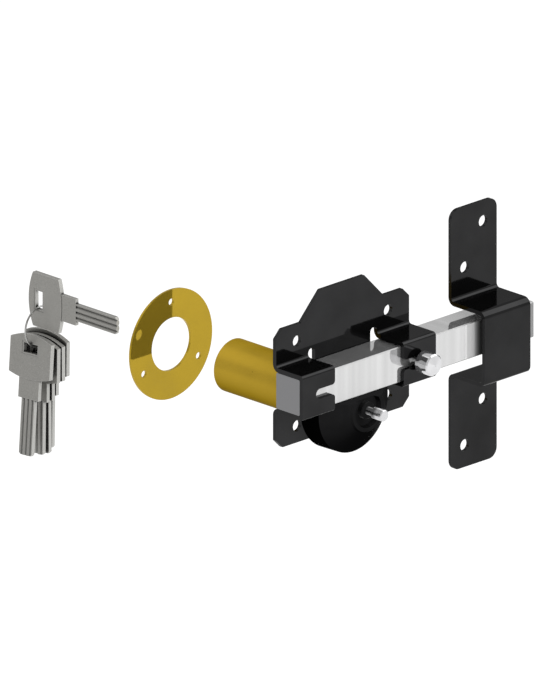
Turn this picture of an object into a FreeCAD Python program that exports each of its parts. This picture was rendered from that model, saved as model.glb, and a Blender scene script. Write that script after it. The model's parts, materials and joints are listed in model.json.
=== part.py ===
import FreeCAD, Part
import math
import os
import Sketcher

# A surface-mounted gate lock with a long sliding bolt, its keeper, the outside cover ring
# and its keys, laid out as a fitter would lay them in front of the gate.
#
# Frame, in millimetres: the origin is the centre of the four screw holes in the back face
# of the back plate. +X runs along the bolt towards the keeper, +Y runs out through the gate
# along the barrel, and +Z is up. The room side, with the bolt and its knob, is -Y.

SIZES = {
    # back plate, pressed from one sheet with its two bolt bridges
    "plate_sheet": 2.8,
    "plate_width": 114.0,
    "tab_height": 76.0,
    "crest_height": 17.0,
    "crest_base": 70.4,
    "crest_top": 37.4,
    "tab_chamfer": 5.5,
    "screw_hole_width": 78.0,
    "screw_hole_height": 54.6,
    "screw_hole_radius": 3.6,
    "bridge_length": 27.5,
    "bridge_top_gap": 0.2,
    "bridge_front_gap": 0.1,
    "bridge_corner_radius": 2.2,
    "bend_radius": 2.0,
    "relief_width": 5.8,
    "relief_reach": 5.1,
    "knob_slot_gap": 0.25,
    "slot_mouth_radius": 2.2,
    # bolt and its knob
    "bolt_length": 200.5,
    "bolt_height": 23.0,
    "bolt_depth": 20.0,
    "bolt_back_gap": 0.1,
    "bolt_edge": 0.6,
    "knob_radius": 6.9,
    "knob_length": 10.4,
    "knob_cone": 1.2,
    "knob_edge": 0.6,
    "knob_rim": 0.8,
    "knob_standoff": 5.7,
    "stud_radius": 3.0,
    "stud_grip": 9.0,
    "stud_in_knob": 6.0,
    "stud_gap": 0.05,
    # rack and pinion
    "gear_module": 2.0,
    "gear_teeth": 9.0,
    "key_turns": 1.5,
    "pressure_angle": 28.0,
    "rack_sink": 1.9,
    "gear_addendum": 1.8,
    "root_clearance": 0.25,
    "tooth_backlash": 0.2,
    "gear_width": 7.0,
    "rack_width": 8.0,
    "gear_hub_radius": 6.4,
    "gear_grip_end": 8.7,
    # round gear housing below the bolt
    "housing_base_radius": 29.9,
    "housing_rim_radius": 29.6,
    "housing_rim_depth": 18.1,
    "housing_depth": 31.0,
    "boss_outer_radius": 14.4,
    "boss_ring_radius": 13.5,
    "boss_inner_radius": 11.0,
    "boss_recess": 3.5,
    "housing_top_gap": 0.3,
    "housing_edge": 0.8,
    "gear_room": 1.5,
    "gear_back_gap": 0.4,
    "cover_web_gap": 0.5,
    "cover_screw_radius": 2.0,
    "cover_screw_circle": 44.0,
    "cover_screw_angle": 35.0,
    "cover_screw_length": 12.0,
    "cover_screw_head": 3.8,
    # release pin in its guide
    "guide_radius": 5.5,
    "guide_front_wall": 5.0,
    "guide_wall": 1.3,
    "guide_gap": 0.03,
    "pin_head_radius": 3.65,
    "pin_head_length": 8.5,
    "pin_stem_radius": 2.5,
    "pin_travel": 5.0,
    "pin_stop_gap": 0.5,
    "pin_collar_radius": 3.9,
    "pin_collar_width": 1.0,
    "pin_tip_reach": 2.2,
    "pin_edge": 0.5,
    "spring_wire": 0.5,
    "spring_turns": 3.0,
    "seat_washer": 0.8,
    # barrel with its turning core
    "axis_from_left": 50.8,
    "axis_drop": 18.6,
    "barrel_radius": 16.75,
    "barrel_length": 85.5,
    "barrel_edge": 0.8,
    "spigot_radius": 10.0,
    "spigot_gap": 0.1,
    "barrel_screw_radius": 1.75,
    "barrel_screw_head": 3.0,
    "barrel_screw_circle": 26.8,
    "barrel_screw_length": 10.0,
    "clip_gap": 0.05,
    "core_radius": 8.5,
    "core_gap": 0.05,
    "core_length": 40.0,
    "core_neck_radius": 6.0,
    "core_neck_length": 4.4,
    "barrel_web": 2.0,
    "tail_room_radius": 8.2,
    "tail_bush_length": 6.0,
    "tail_bush_bore": 4.5,
    "core_clip_radius": 7.6,
    "core_clip_thickness": 1.0,
    "core_clip_groove": 1.0,
    "tail_square": 6.0,
    "tail_gap": 0.05,
    "tail_socket": 5.0,
    "tail_edge": 0.6,
    "tumbler_count": 5.0,
    "tumbler_pitch": 6.0,
    "tumbler_first": 5.0,
    "tumbler_radius": 1.3,
    "tumbler_gap": 0.04,
    "tumbler_rise": 4.2,
    "tumbler_spring": 1.8,
    # keeper on the frame, one folded strap
    "keeper_sheet": 2.5,
    "keeper_width": 39.0,
    "keeper_height": 167.4,
    "keeper_from_tip": 30.6,
    "keeper_centre_z": -6.7,
    "keeper_corner": 6.5,
    "keeper_bow_height": 48.6,
    "keeper_bow_rise": 1.3,
    "keeper_bow_depth": 31.4,
    "keeper_bend": 2.5,
    "keeper_hole_line": 114.4,
    "keeper_hole_stagger": 25.8,
    "keeper_hole_width": 15.8,
    "keeper_hole_radius": 3.75,
    "keeper_hole_rise": 0.5,
    # cover ring for the outside of the gate
    "ring_radius": 35.0,
    "ring_thickness": 1.8,
    "ring_bore_gap": 0.1,
    "ring_edge": 0.4,
    "ring_stand": 137.8,
    "ring_hole_circle": 54.0,
    "ring_hole_radius": 2.25,
    # keys and their wire ring
    "key_sheet": 2.8,
    "key_tip_stand": 183.6,
    "blade_length": 35.0,
    "blade_width": 10.9,
    "blade_tip": 1.3,
    "blade_relief": 0.2,
    "blade_groove_width": 2.0,
    "blade_groove_depth": 0.7,
    "blade_groove_pitch": 3.5,
    "collar_length": 12.0,
    "collar_width": 17.0,
    "bow_width": 34.6,
    "bow_side": 21.8,
    "bow_neck_rise": 2.7,
    "bow_end_rise": 3.7,
    "bow_edge": 0.4,
    "key_slot_width": 5.9,
    "key_slot_length": 11.8,
    "key_slot_edge": 5.9,
    "slot_frame": 1.2,
    "slot_frame_depth": 0.12,
    "keyway_gap": 0.15,
    "wire_ring_radius": 13.0,
    "wire_radius": 0.6,
    "wire_gap": 0.05,
    "wire_ring_shift": 1.4,
    "spare_1_shift": -7.0,
    "spare_2_shift": -1.6,
    "spare_3_shift": 2.4,
    "spare_4_shift": 6.5,
}

# how the four spare keys hang: turned in their own plane, and leaning out of it
SPARE_SWING = (-3.1, 0.6, -0.4, 0.8)
SPARE_LEAN = (7.3, 0.0, 0.0, 0.0)


class Size:
    """A length that knows its number and the sheet formula behind it."""

    def __init__(self, text, value):
        self.text = text
        self.value = value

    def join(self, sign, other, value):
        return Size("(%s %s %s)" % (self.text, sign, other.text), value)

    def __add__(self, other):
        other = size_of(other)
        return self.join("+", other, self.value + other.value)

    def __sub__(self, other):
        other = size_of(other)
        return self.join("-", other, self.value - other.value)

    def __mul__(self, other):
        other = size_of(other)
        return self.join("*", other, self.value * other.value)

    def __truediv__(self, other):
        other = size_of(other)
        return self.join("/", other, self.value / other.value)

    def __radd__(self, other):
        return size_of(other) + self

    def __rsub__(self, other):
        return size_of(other) - self

    def __rmul__(self, other):
        return size_of(other) * self

    def __neg__(self):
        return Size("(-%s)" % self.text, -self.value)


def size_of(number):
    """Wrap a plain number so that it can be used in a formula."""
    if isinstance(number, Size):
        return number
    return Size(repr(float(number)), float(number))


def root(size):
    return Size("sqrt(%s)" % size.text, math.sqrt(size.value))


doc = FreeCAD.newDocument("gate_lock")


def make_sheet():
    """Write the driving sizes to the sheet, one alias for each."""
    sheet = doc.addObject("Spreadsheet::Sheet", "Sizes")
    for row, (alias, number) in enumerate(SIZES.items(), start=1):
        sheet.set("A%d" % row, alias)
        sheet.set("B%d" % row, str(number))
        sheet.setAlias("B%d" % row, alias)
    doc.recompute()
    return sheet


class Named:
    """The sheet's sizes as attributes."""

    def __getattr__(self, alias):
        return Size("Sizes.%s" % alias, SIZES[alias])


make_sheet()
S = Named()


def bind(thing, path, size):
    """Tie a property to its sheet formula."""
    thing.setExpression(path, size_of(size).text)


def place(thing, x=0, y=0, z=0, turn=None):
    """Place a sub-part, its position bound to the sheet."""
    rotation = turn if turn else FreeCAD.Rotation()
    spot = FreeCAD.Vector(size_of(x).value, size_of(y).value, size_of(z).value)
    thing.Placement = FreeCAD.Placement(spot, rotation)
    for letter, size in zip("xyz", (x, y, z)):
        if isinstance(size, Size):
            bind(thing, ".Placement.Base.%s" % letter, size)


class Piece:
    """One rigid piece: a body, its sketches and its features."""

    def __init__(self, label, x=0, y=0, z=0, turn=None):
        self.body = doc.addObject("PartDesign::Body", label)
        self.body.Label = label
        self.label = label
        self.count = 0
        place(self.body, x, y, z, turn)

    def name(self, kind):
        self.count += 1
        return "%s_%s%d" % (self.label, kind, self.count)

    def sketch(self, role, offset=0):
        """Start a sketch on an origin plane, moved along the plane's normal."""
        sketch = self.body.newObject("Sketcher::SketchObject", self.name("sketch"))
        plane = [o for o in self.body.Origin.OriginFeatures if o.Role == role][0]
        sketch.AttachmentSupport = (plane, [""])
        sketch.MapMode = "FlatFace"
        if isinstance(offset, Size) or offset:
            bind(sketch, ".AttachmentOffset.Base.z", offset)
        return sketch

    def feature(self, kind, sketch=None):
        feature = self.body.newObject("PartDesign::" + kind, self.name(kind.lower()))
        if sketch:
            feature.Profile = sketch
            sketch.Visibility = False
        return feature

    def pad(self, sketch, length, reverse=False, middle=False):
        pad = self.feature("Pad", sketch)
        pad.SideType = "Symmetric" if middle else "One side"
        pad.Reversed = reverse
        bind(pad, "Length", length)
        doc.recompute()
        return pad

    def pocket(self, sketch, length, reverse=False, middle=False):
        """Cut a pocket and make sure that it takes something away."""
        before = self.body.Shape.Volume
        pocket = self.feature("Pocket", sketch)
        pocket.SideType = "Symmetric" if middle else "One side"
        pocket.Reversed = reverse
        bind(pocket, "Length", length)
        doc.recompute()
        if not self.body.Shape.Volume < before - 1e-3:
            raise RuntimeError("%s cuts nothing" % pocket.Name)
        return pocket

    def revolve(self, sketch):
        turned = self.feature("Revolution", sketch)
        turned.ReferenceAxis = (sketch, ["V_Axis"])
        turned.Angle = 360.0
        doc.recompute()
        return turned

    def repeat_round(self, feature, sketch, count):
        """Repeat a feature around the sketch's normal."""
        ring = self.feature("PolarPattern")
        ring.Originals = [feature]
        ring.Axis = (sketch, ["N_Axis"])
        ring.Angle = 360.0
        bind(ring, "Occurrences", count)
        self.body.Tip = ring
        doc.recompute()
        return ring

    def repeat_along(self, feature, sketch, axis, length, count, reverse=False):
        """Repeat a feature in a straight row."""
        row = self.feature("LinearPattern")
        row.Originals = [feature]
        row.Direction = (sketch, [axis])
        row.Reversed = reverse
        bind(row, "Length", length)
        bind(row, "Occurrences", count)
        self.body.Tip = row
        doc.recompute()
        return row

    def mirror(self, features, role):
        """Mirror features in one of the body's own planes."""
        mirrored = self.feature("Mirrored")
        mirrored.Originals = features
        plane = [o for o in self.body.Origin.OriginFeatures if o.Role == role][0]
        mirrored.MirrorPlane = (plane, [""])
        self.body.Tip = mirrored
        doc.recompute()
        return mirrored

    def soften(self, kind, edges, size):
        """Fillet or chamfer the named edges of the body as it stands."""
        if not edges:
            raise RuntimeError("%s has no such edge" % self.label)
        base = self.body.Tip
        soft = self.feature(kind)
        soft.Base = (base, edges)
        bind(soft, "Radius" if kind == "Fillet" else "Size", size)
        doc.recompute()
        return soft

    def edges(self, axis, spots, reach=None):
        """Straight edges along an axis that pass through any of the given spots."""
        return straight_edges(self.body.Tip.Shape, axis, spots, reach)


def number(size):
    return size_of(size).value


def straight_edges(shape, axis, spots, reach=None):
    """Names of edges parallel to X, Y or Z (0, 1, 2) that cross the other two values."""
    across = [i for i in range(3) if i != axis]
    found = []
    for index, edge in enumerate(shape.Edges, start=1):
        if edge.Curve.TypeId != "Part::GeomLine":
            continue
        ends = [v.Point for v in edge.Vertexes]
        if len(ends) < 2 or abs((ends[1] - ends[0])[axis]) < edge.Length - 1e-6:
            continue
        middle = (ends[0] + ends[1]) / 2
        if reach and not reach[0] <= middle[axis] <= reach[1]:
            continue
        for spot in spots:
            if all(abs(middle[i] - number(s)) < 1e-4 for i, s in zip(across, spot)):
                found.append("Edge%d" % index)
                break
    return found


def pin_point(sketch, geometry, end, x, y):
    """Fix one end of a line or arc at a distance from the sketch's origin."""
    for kind, size in (("DistanceX", x), ("DistanceY", y)):
        rule = Sketcher.Constraint(kind, -1, 1, geometry, end, number(size))
        index = sketch.addConstraint(rule)
        if isinstance(size, Size):
            bind(sketch, "Constraints[%d]" % index, size)


def outline(sketch, corners):
    """Draw a closed outline of straight lines through the corners."""
    spots = [FreeCAD.Vector(number(x), number(y), 0) for x, y in corners]
    lines = []
    for start, end in zip(spots, spots[1:] + spots[:1]):
        lines.append(sketch.addGeometry(Part.LineSegment(start, end)))
    for line, following in zip(lines, lines[1:] + lines[:1]):
        sketch.addConstraint(Sketcher.Constraint("Coincident", line, 2, following, 1))
    for line, (x, y) in zip(lines, corners):
        pin_point(sketch, line, 1, x, y)
    return lines


def rectangle(sketch, left, bottom, right, top):
    return outline(sketch, [(left, bottom), (right, bottom), (right, top), (left, top)])


def circle(sketch, x, y, radius):
    """Draw a circle with its centre and radius bound."""
    spot = FreeCAD.Vector(number(x), number(y), 0)
    curve = Part.Circle(spot, FreeCAD.Vector(0, 0, 1), number(radius))
    index = sketch.addGeometry(curve)
    pin_point(sketch, index, 3, x, y)
    rule = sketch.addConstraint(Sketcher.Constraint("Radius", index, number(radius)))
    bind(sketch, "Constraints[%d]" % rule, radius)
    return index


def bulge(sketch, start, end, rise):
    """Draw a shallow arc from start to end, standing to the right by its rise."""
    a = FreeCAD.Vector(number(start[0]), number(start[1]), 0)
    b = FreeCAD.Vector(number(end[0]), number(end[1]), 0)
    chord = b - a
    side = FreeCAD.Vector(chord.y, -chord.x, 0).normalize()
    crown = (a + b) / 2 + side * number(rise)
    return sketch.addGeometry(Part.Arc(a, crown, b))


def fix_radius(sketch, index, radius):
    rule = sketch.addConstraint(Sketcher.Constraint("Radius", index, number(radius)))
    bind(sketch, "Constraints[%d]" % rule, radius)


def cylinder(label, radius, length, x=0, y=0, z=0, turn=None):
    """A plain round piece, made along its own Z."""
    rod = doc.addObject("Part::Cylinder", label)
    bind(rod, "Radius", radius)
    bind(rod, "Height", length)
    place(rod, x, y, z, turn)
    return rod


SCREW_ROOM = 0.15
ALONG_Y = FreeCAD.Rotation(FreeCAD.Vector(1, 0, 0), -90)
ALONG_X = FreeCAD.Rotation(FreeCAD.Vector(0, 1, 0), 90)


def combine(kind, label, parts):
    joined = doc.addObject(kind, label)
    joined.Label = label
    if kind == "Part::Compound":
        joined.Links = parts
    else:
        joined.Shapes = parts
    doc.recompute()
    return joined


# Shared places, all worked out from the sizes above.

half_bolt = S.bolt_height / 2
bolt_back = S.plate_sheet + S.bolt_back_gap
bolt_front = bolt_back + S.bolt_depth
bolt_left = -(S.plate_width / 2)
bolt_right = bolt_left + S.bolt_length
pitch_radius = S.gear_module * S.gear_teeth / 2
throw = pitch_radius * S.key_turns * (2 * math.pi)
knob_rest = throw / 2
bridge_inner = bolt_front + S.bridge_front_gap
bridge_front = bridge_inner + S.plate_sheet
bridge_ceiling = half_bolt + S.bridge_top_gap
bridge_top = bridge_ceiling + S.plate_sheet
bridge_floor = half_bolt
bridge_bottom = bridge_floor + S.plate_sheet
bridge_left = -(S.plate_width / 2)
bridge_right = bridge_left + S.bridge_length
axis_x = bridge_left + S.axis_from_left
axis_z = -S.axis_drop
rack_bottom = S.axis_drop - half_bolt
gear_middle = bolt_back + S.bolt_depth / 2
gear_front = gear_middle + S.gear_width / 2
gear_back = gear_middle - S.gear_width / 2
hub_back = S.plate_sheet + S.gear_back_gap
web_back = gear_front + S.cover_web_gap
knob_back = bolt_front + S.knob_standoff
slot_half = S.stud_radius + S.knob_slot_gap


def back_plate():
    """Sheet with a crest, two bridges folded forward over the bolt, and its holes."""
    piece = Piece("back_plate")
    half = S.plate_width / 2
    tab = S.tab_height / 2
    relief = S.bridge_length + S.relief_width
    notch = half - relief
    slit = half - S.bridge_length
    up = bridge_top + S.bend_radius
    down = -(bridge_bottom + S.bend_radius)
    up_end = bridge_top + S.relief_reach
    down_end = -(bridge_bottom + S.relief_reach)
    crest = tab + S.crest_height
    right = [(half, -tab), (half, down), (slit, down), (slit, down_end), (notch, down_end),
             (notch, up_end), (slit, up_end), (slit, up), (half, up), (half, tab),
             (S.crest_base / 2, tab), (S.crest_top / 2, crest)]
    left = [(-x, y) for x, y in reversed(right)]
    flat = piece.sketch("XZ_Plane")
    outline(flat, right + left)
    piece.pad(flat, S.plate_sheet)

    fold = piece.sketch("YZ_Plane", bridge_left)
    outline(fold, [(0, up), (-S.plate_sheet, up), (-S.plate_sheet, bridge_top),
                   (-bridge_front, bridge_top), (-bridge_front, -bridge_bottom),
                   (-S.plate_sheet, -bridge_bottom), (-S.plate_sheet, down), (0, down),
                   (0, -bridge_floor), (-bridge_inner, -bridge_floor),
                   (-bridge_inner, bridge_ceiling), (0, bridge_ceiling)])
    bridge = piece.pad(fold, S.bridge_length)
    piece.mirror([bridge], "YZ_Plane")

    inside = [(-S.plate_sheet, bridge_top), (-S.plate_sheet, -bridge_bottom)]
    piece.soften("Fillet", piece.edges(0, inside), S.bend_radius)
    outside = [(0, bridge_ceiling), (0, -bridge_floor)]
    piece.soften("Fillet", piece.edges(0, outside), S.bend_radius + S.plate_sheet)
    corners = [(-bridge_front, bridge_top), (-bridge_front, -bridge_bottom)]
    piece.soften("Fillet", piece.edges(0, corners), S.bridge_corner_radius)

    relief_ends = [(x, z) for x in (notch, -notch, slit, -slit) for z in (up_end, down_end)]
    piece.soften("Fillet", piece.edges(1, relief_ends), S.relief_width / 2 - 0.05)
    tabs = [(x, z) for x in (half, -half) for z in (tab, -tab)]
    piece.soften("Chamfer", piece.edges(1, tabs), S.tab_chamfer)

    knob_slots(piece)
    plate_holes(piece)
    return piece.body


def knob_slots(piece):
    """Slots in the bridge fronts that the knob's stud runs into, open towards the middle."""
    end = knob_rest + slot_half
    slit = S.plate_width / 2 - S.bridge_length
    front = piece.sketch("XZ_Plane", bridge_front + 1)
    rectangle(front, -end, -slot_half, -(slit - 1), slot_half)
    rectangle(front, slit - 1, -slot_half, end, slot_half)
    piece.pocket(front, S.plate_sheet + 1.5)
    ends = [(x, z) for x in (end, -end) for z in (slot_half, -slot_half)]
    piece.soften("Fillet", piece.edges(1, ends), slot_half - 0.05)
    mouths = [(x, z) for x in (slit, -slit) for z in (slot_half, -slot_half)]
    piece.soften("Fillet", piece.edges(1, mouths), S.slot_mouth_radius)


def plate_holes(piece):
    """Fixing holes, the barrel's hole and the countersunk holes for the housing screws."""
    holes = piece.sketch("XZ_Plane")
    for side in (-1, 1):
        for level in (-1, 1):
            x = S.screw_hole_width / 2 * side
            z = S.screw_hole_height / 2 * level
            circle(holes, x, z, S.screw_hole_radius)
    circle(holes, axis_x, axis_z, S.spigot_radius + S.spigot_gap)
    for x, z in cover_screw_spots():
        circle(holes, axis_x + x, axis_z + z, S.cover_screw_radius + SCREW_ROOM)
    for x, z in barrel_screw_spots():
        circle(holes, axis_x + x, axis_z + z, S.barrel_screw_radius + SCREW_ROOM)
    piece.pocket(holes, (S.plate_sheet + 1) * 2, middle=True)
    rear = round_edges(piece.body.Tip.Shape, S.cover_screw_radius + SCREW_ROOM, 0)
    piece.soften("Chamfer", rear, S.cover_screw_head - S.cover_screw_radius)
    front = round_edges(piece.body.Tip.Shape, S.barrel_screw_radius + SCREW_ROOM, -S.plate_sheet)
    piece.soften("Chamfer", front, S.barrel_screw_head - S.barrel_screw_radius)


def round_edges(shape, radius, y):
    """Names of the circular edges of one radius that lie at one depth."""
    found = []
    for index, edge in enumerate(shape.Edges, start=1):
        if edge.Curve.TypeId != "Part::GeomCircle":
            continue
        miss = abs(edge.Curve.Radius - number(radius)) + abs(edge.Curve.Center.y - number(y))
        if miss < 1e-4:
            found.append("Edge%d" % index)
    return found


def around_axis(circle_size, angles):
    """Spots on a circle round the barrel's axis, at angles below the horizontal."""
    reach = circle_size / 2
    turns = [math.radians(angle) for angle in angles]
    return [(reach * math.cos(turn), -(reach * math.sin(turn))) for turn in turns]


def cover_screw_spots():
    """Two screws low on the housing."""
    angle = SIZES["cover_screw_angle"]
    return around_axis(S.cover_screw_circle, (angle, 180 - angle))


def barrel_screw_spots():
    """Three screws through the plate into the barrel, clear of the bolt above."""
    return around_axis(S.barrel_screw_circle, (30, 90, 150))


def gear_housing():
    """Domed round housing: turned form, flat top under the bolt, boss ring and gear room."""
    piece = Piece("gear_housing", axis_x, 0, axis_z)
    back = -S.plate_sheet
    tip = pitch_radius + S.gear_addendum
    room = tip + S.gear_room
    shape = piece.sketch("XY_Plane")
    outline(shape, [
        (room, back), (S.housing_base_radius, back),
        (S.housing_rim_radius, -S.housing_rim_depth),
        (S.boss_outer_radius, -(S.housing_depth - 1.2)), (S.boss_ring_radius, -S.housing_depth),
        (S.boss_inner_radius, -S.housing_depth),
        (S.boss_inner_radius - 0.6, -(S.housing_depth - S.boss_recess)),
        (S.guide_radius + S.guide_gap, -(S.housing_depth - S.boss_recess)),
        (S.guide_radius + S.guide_gap, -web_back), (room, -web_back)])
    piece.revolve(shape)

    top = rack_bottom - S.housing_top_gap
    wide = S.housing_base_radius + 2
    crown = piece.sketch("XZ_Plane")
    rectangle(crown, -wide, top, wide, wide)
    piece.pocket(crown, (S.housing_depth + 2) * 2, middle=True)

    under_bridge = S.axis_drop - bridge_bottom - 0.2
    bridge_side = bridge_right - axis_x + 0.3
    step = piece.sketch("XZ_Plane")
    rectangle(step, -wide, under_bridge, bridge_side, wide)
    piece.pocket(step, (S.housing_depth + 2) * 2, middle=True)
    fillet_room = piece.sketch("XZ_Plane")
    rectangle(fillet_room, -wide, under_bridge - S.bend_radius - 0.3, bridge_side, wide)
    piece.pocket(fillet_room, (S.plate_sheet + S.bend_radius + 0.3) * 2, middle=True)

    pilots = piece.sketch("XZ_Plane")
    for x, z in cover_screw_spots():
        circle(pilots, x, z, S.cover_screw_radius)
    piece.pocket(pilots, (S.cover_screw_length + 0.5) * 2, middle=True)
    return piece.body


def countersunk(label, index, radius, head, length, spot, front):
    """One countersunk screw; its head lies in the front or the back of the plate."""
    x, z = spot
    grip = head - radius
    face = -S.plate_sheet if front else size_of(0)
    shank_start = face + 0.01 if front else -length
    shank = cylinder("%s_shank%d" % (label, index), radius - 0.03, length - 0.01,
                     axis_x + x, shank_start, axis_z + z, ALONG_Y)
    cone = doc.addObject("Part::Cone", "%s_cone%d" % (label, index))
    bind(cone, "Radius1", head if front else radius - 0.03)
    bind(cone, "Radius2", radius - 0.03 if front else head)
    bind(cone, "Height", grip)
    place(cone, axis_x + x, face if front else -grip, axis_z + z, ALONG_Y)
    screw = doc.addObject("Part::Fuse", "%s_%d" % (label, index))
    screw.Base = shank
    screw.Tool = cone
    return screw


def cover_screws():
    """Screws from behind the plate into the housing, one node."""
    screws = [countersunk("cover_screw", index, S.cover_screw_radius, S.cover_screw_head,
                          S.cover_screw_length, spot, False)
              for index, spot in enumerate(cover_screw_spots(), start=1)]
    return combine("Part::Compound", "housing_screws", screws)


def barrel_screws():
    """Screws from the front of the plate into the barrel, one node."""
    screws = [countersunk("barrel_screw", index, S.barrel_screw_radius, S.barrel_screw_head,
                          S.barrel_screw_length, spot, True)
              for index, spot in enumerate(barrel_screw_spots(), start=1)]
    return combine("Part::Compound", "barrel_screws", screws)


def turned(label, corners, x=axis_x, y=0, z=axis_z):
    """A piece turned about the barrel's axis, from radius and depth corners."""
    piece = Piece(label, x, y, z)
    profile = piece.sketch("XY_Plane")
    outline(profile, corners)
    piece.revolve(profile)
    return piece


def barrel():
    """Brass barrel with a spigot in the plate, a core bore and tumbler chambers."""
    bore = S.core_radius + S.core_gap
    inner = S.barrel_length - S.core_length
    chamber = inner - S.barrel_web
    spigot_end = -(S.plate_sheet - 0.1)
    piece = turned("barrel", [
        (S.barrel_radius, 0), (S.barrel_radius, S.barrel_length - S.barrel_edge),
        (S.barrel_radius - S.barrel_edge, S.barrel_length), (bore, S.barrel_length),
        (bore, inner), (S.core_neck_radius + S.core_gap, inner),
        (S.core_neck_radius + S.core_gap, chamber), (S.tail_room_radius, chamber),
        (S.tail_room_radius, spigot_end), (S.spigot_radius, spigot_end),
        (S.spigot_radius, 0)])
    holes = piece.sketch("YZ_Plane", S.core_radius - 0.5)
    circle(holes, S.barrel_length - S.tumbler_first, 0, S.tumbler_radius)
    drill = piece.pocket(holes, S.barrel_radius, reverse=True)
    piece.repeat_along(drill, holes, "H_Axis", tumbler_span(), S.tumbler_count, reverse=True)
    tapped = piece.sketch("XZ_Plane")
    for x, z in barrel_screw_spots():
        circle(tapped, x, z, S.barrel_screw_radius)
    piece.pocket(tapped, (S.barrel_screw_length - S.plate_sheet + 0.5) * 2, middle=True)
    return piece.body


def tail_bush():
    """Bush in the barrel's inner end that the square tail turns in."""
    inner = -(S.plate_sheet - 0.1)
    return turned("tail_bush", [
        (S.tail_bush_bore, inner), (S.tail_room_radius - 0.03, inner),
        (S.tail_room_radius - 0.03, inner + S.tail_bush_length),
        (S.tail_bush_bore, inner + S.tail_bush_length)]).body


def tumbler_span():
    return S.tumbler_pitch * (S.tumbler_count - 1)


def clip_ring(label, y, groove_radius, outer, thickness):
    """Flat retaining clip with an open mouth."""
    piece = Piece(label, axis_x, y, axis_z)
    flat = piece.sketch("XZ_Plane")
    circle(flat, 0, 0, outer)
    circle(flat, 0, 0, groove_radius)
    piece.pad(flat, thickness)
    mouth = piece.sketch("XZ_Plane")
    rectangle(mouth, groove_radius * -0.35, -(outer + 1), groove_radius * 0.35, 0)
    piece.pocket(mouth, thickness * 3, middle=True)
    return piece.body


def core():
    """Turning core with its keyway, tumbler holes and a square socket for the tail."""
    inner = S.barrel_length - S.core_length
    neck = S.barrel_web + 0.1
    clip_seat = neck + S.core_clip_thickness + 0.1
    piece = turned("core", [
        (0, S.core_length - 0.3), (S.core_radius - 0.5, S.core_length - 0.3),
        (S.core_radius, S.core_length - 0.8), (S.core_radius, 0.05),
        (S.core_neck_radius, 0.05), (S.core_neck_radius, -neck),
        (S.core_neck_radius - S.core_clip_groove, -neck),
        (S.core_neck_radius - S.core_clip_groove, -clip_seat),
        (S.core_neck_radius, -clip_seat), (S.core_neck_radius, -S.core_neck_length),
        (0, -S.core_neck_length)], y=inner)
    depth = S.blade_length + S.keyway_gap
    slot = piece.sketch("XZ_Plane", -S.core_length)
    half_width = S.key_sheet / 2 + S.keyway_gap
    half_height = S.blade_width / 2 + S.keyway_gap
    rectangle(slot, -half_width, -half_height, half_width, half_height)
    piece.pocket(slot, depth, reverse=True)
    socket = piece.sketch("XZ_Plane", S.core_neck_length + 0.5)
    half = S.tail_square / 2 + S.tail_gap
    rectangle(socket, -half, -half, half, half)
    piece.pocket(socket, S.tail_socket + 0.5)
    holes = piece.sketch("YZ_Plane", 0)
    circle(holes, S.core_length - S.tumbler_first, 0, S.tumbler_radius)
    drill = piece.pocket(holes, S.core_radius + 1, reverse=True)
    piece.repeat_along(drill, holes, "H_Axis", tumbler_span(), S.tumbler_count, reverse=True)
    return piece.body


def tumbler_row(label, start, length, radius, hollow=None):
    """A row of small round pieces across the core, one node."""
    row = []
    for index in range(int(SIZES["tumbler_count"])):
        y = S.barrel_length - S.tumbler_first - S.tumbler_pitch * index
        rod = cylinder("%s%d" % (label, index + 1), radius, length,
                       axis_x + start, y, axis_z, ALONG_X)
        if hollow:
            bore = cylinder("%s_bore%d" % (label, index + 1), hollow, length,
                            axis_x + start, y, axis_z, ALONG_X)
            sleeve = doc.addObject("Part::Cut", "%s_sleeve%d" % (label, index + 1))
            sleeve.Base = rod
            sleeve.Tool = bore
            rod = sleeve
        row.append(rod)
    return combine("Part::Compound", label, row)


def tumblers():
    """Key pins in the core, then driver pins, springs and plugs in the barrel."""
    radius = S.tumbler_radius - S.tumbler_gap
    keyway = S.key_sheet / 2 + S.keyway_gap
    driver = S.core_radius + S.core_gap
    spring = driver + S.tumbler_rise
    plug = spring + S.tumbler_spring
    return [
        tumbler_row("key_pins", keyway + 0.05, S.core_radius - keyway - 0.1, radius),
        tumbler_row("driver_pins", driver + 0.02, S.tumbler_rise - 0.05, radius),
        tumbler_row("tumbler_springs", spring, S.tumbler_spring - 0.03, radius, radius - 0.4),
        tumbler_row("chamber_plugs", plug, S.barrel_radius - plug - 0.25, S.tumbler_radius - 0.01),
    ]


def drive_tail():
    """Square bar that carries the core's turn to the gear."""
    inner = S.barrel_length - S.core_length
    far = inner - S.core_neck_length + S.tail_socket - 0.1
    near = S.gear_grip_end
    piece = Piece("drive_tail", axis_x, 0, axis_z)
    section = piece.sketch("XZ_Plane", near)
    half = S.tail_square / 2
    rectangle(section, -half, -half, half, half)
    piece.pad(section, far + near, reverse=True)
    corners = [(x, z) for x in (half, -half) for z in (half, -half)]
    piece.soften("Chamfer", piece.edges(1, corners), S.tail_edge)
    return piece.body


def involute(base, angle):
    """Point of an involute that starts on the base circle, by its roll angle."""
    x = base * (math.sin(angle) - angle * math.cos(angle))
    y = base * (math.cos(angle) + angle * math.sin(angle))
    return x, y


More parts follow.
